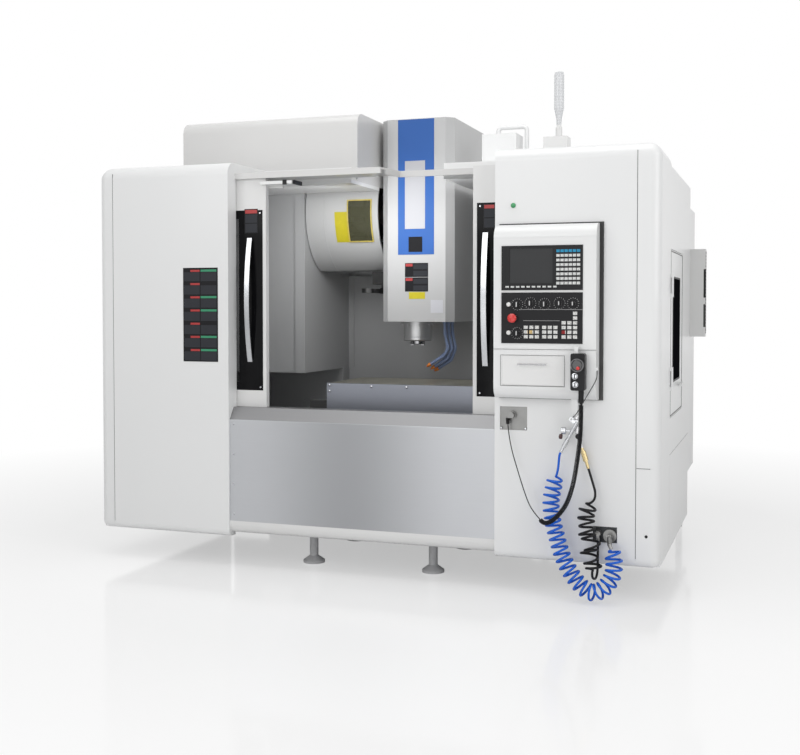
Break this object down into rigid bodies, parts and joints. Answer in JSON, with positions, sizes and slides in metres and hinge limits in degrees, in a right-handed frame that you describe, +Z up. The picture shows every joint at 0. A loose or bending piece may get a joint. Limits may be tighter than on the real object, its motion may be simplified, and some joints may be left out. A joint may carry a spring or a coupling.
{
  "type": "vertical machining centre",
  "caption": "Vertical machining centre in a sheet-metal enclosure with sliding doors, swing console, side magazine with change arm, cross-slide table and spiral gun hoses.",
  "frame": {"origin": "centre of the footprint at floor level, cords left out", "axes": "+X along the front to the operator's right, +Y towards the back, +Z up"},
  "size_m": [3.229, 2.754, 2.66],
  "materials": {
    "white_paint": "satin",
    "grey_paint": "satin",
    "brushed_sheet": "brushed",
    "bright_metal": "polished",
    "cast_body": "painted",
    "table_iron": "machined",
    "dark_sheet": "brushed",
    "lining_sheet": "satin",
    "clear_plastic": "clear",
    "door_glass": "gloss",
    "grey_plastic": "matte",
    "red_plastic": "gloss",
    "black_plastic": "matte",
    "cable_rubber": "satin",
    "blue_hose": "gloss"
  },
  "bodies": {
    "enclosure": {"left_cabinet": "white_paint", "service_plates": "bright_metal", "side_panels": "white_paint", "front_apron": "brushed_sheet", "kick_plate": "grey_paint", "top_rail": "white_paint", "roof_panels": "white_paint", "rear_panels": "white_paint", "levelling_feet": "cast_body", "column_casting": "cast_body", "base_casting": "cast_body", "chamber_lining": "lining_sheet", "magazine_cover": "white_paint", "magazine_window": "clear_plastic", "magazine_hood": "white_paint", "changer_frame": "cast_body", "electrical_cabinet": "white_paint", "cabinet_cooler": "white_paint", "coolant_tank": "grey_paint", "tower_light": "grey_plastic", "right_cabinet": "white_paint", "pendant_lead": "cable_rubber", "blue_lead": "blue_hose", "blue_coil": "blue_hose", "black_lead": "cable_rubber", "black_coil": "cable_rubber", "black_tail": "cable_rubber"},
    "saddle": {"saddle_casting": "cast_body", "y_cover_moving": "lining_sheet"},
    "cover_middle": {"y_cover_middle": "lining_sheet"},
    "table": {"work_table": "table_iron", "table_apron": "dark_sheet"},
    "head": {"headstock": "cast_body", "head_cover": "white_paint", "spindle_cartridge": "bright_metal", "coolant_nozzles": "grey_plastic", "z_cover_sheet": "lining_sheet"},
    "spindle": {"spindle_shaft": "bright_metal"},
    "left_leaf": {"left_door": "white_paint", "left_door_pane": "door_glass", "left_door_handle": "bright_metal"},
    "right_leaf": {"right_door": "white_paint", "right_door_pane": "door_glass", "right_door_handle": "bright_metal"},
    "console": {"console_housing": "white_paint", "display_unit": "grey_plastic", "operator_panel": "grey_plastic", "pendant": "grey_plastic", "air_gun": "bright_metal", "coolant_gun": "bright_metal", "gun_lanyard": "cable_rubber", "pendant_curl": "cable_rubber"},
    "flap": {"keyboard_flap": "white_paint"},
    "stop": {"emergency_stop": "red_plastic"},
    "start": {"start_button": "grey_plastic"},
    "hold": {"hold_button": "grey_plastic"},
    "dial": {"pendant_dial": "black_plastic"},
    "service_door": {"side_door": "white_paint"},
    "disc": {"tool_disc": "cast_body"},
    "arm": {"change_arm": "bright_metal"}
  },
  "joints": [
    {"name": "y_slide", "type": "slide", "parent": "enclosure", "child": "saddle", "axis": [0, 1, 0], "range_m": [0, 0.57]},
    {"name": "cover_slide", "type": "slide", "parent": "enclosure", "child": "cover_middle", "axis": [0, 1, 0], "range_m": [0, 0.285]},
    {"name": "x_slide", "type": "slide", "parent": "saddle", "child": "table", "axis": [1, 0, 0], "range_m": [-0.806, 0.294]},
    {"name": "z_slide", "type": "slide", "parent": "enclosure", "child": "head", "axis": [0, 0, 1], "range_m": [-0.055, 0.53]},
    {"name": "spindle_turn", "type": "hinge", "parent": "head", "child": "spindle", "pos_m": [-0.0445, -0.148, 1.33], "axis": [0, 0, 1], "continuous": true},
    {"name": "left_door_slide", "type": "slide", "parent": "enclosure", "child": "left_leaf", "axis": [1, 0, 0], "range_m": [0, 0.565]},
    {"name": "right_door_slide", "type": "slide", "parent": "enclosure", "child": "right_leaf", "axis": [1, 0, 0], "range_m": [-0.605, 0]},
    {"name": "console_swing", "type": "hinge", "parent": "enclosure", "child": "console", "pos_m": [0.7255, -1.207, 1.405], "axis": [0, 0, 1], "range_deg": [-75, 0]},
    {"name": "flap_fold", "type": "hinge", "parent": "console", "child": "flap", "pos_m": [0.9245, -1.292, 1.0473], "axis": [1, 0, 0], "range_deg": [0, 90]},
    {"name": "stop_press", "type": "slide", "parent": "console", "child": "stop", "axis": [0, 1, 0], "range_m": [0, 0.006], "stiffness_N_per_m": 900, "springref_m": -0.002},
    {"name": "start_press", "type": "slide", "parent": "console", "child": "start", "axis": [0, 1, 0], "range_m": [0, 0.005], "stiffness_N_per_m": 500, "springref_m": -0.001},
    {"name": "hold_press", "type": "slide", "parent": "console", "child": "hold", "axis": [0, 1, 0], "range_m": [0, 0.005], "stiffness_N_per_m": 500, "springref_m": -0.001},
    {"name": "dial_turn", "type": "hinge", "parent": "console", "child": "dial", "pos_m": [1.1575, -1.353, 1.151], "axis": [0, 1, 0], "continuous": true},
    {"name": "service_door_swing", "type": "hinge", "parent": "enclosure", "child": "service_door", "pos_m": [1.5325, -0.723, 1.29], "axis": [0, 0, 1], "range_deg": [-100, 0]},
    {"name": "disc_turn", "type": "hinge", "parent": "enclosure", "child": "disc", "pos_m": [-0.3895, 0.157, 2.02], "axis": [1, 0, 0], "continuous": true},
    {"name": "arm_turn", "type": "hinge", "parent": "enclosure", "child": "arm", "pos_m": [-0.3065, 0.004, 1.514], "axis": [0, 0, 1], "range_deg": [-7, 7]}
  ],
  "couplings": [
    {"joint": "cover_slide", "follows": "y_slide", "ratio": 0.5}
  ]
}
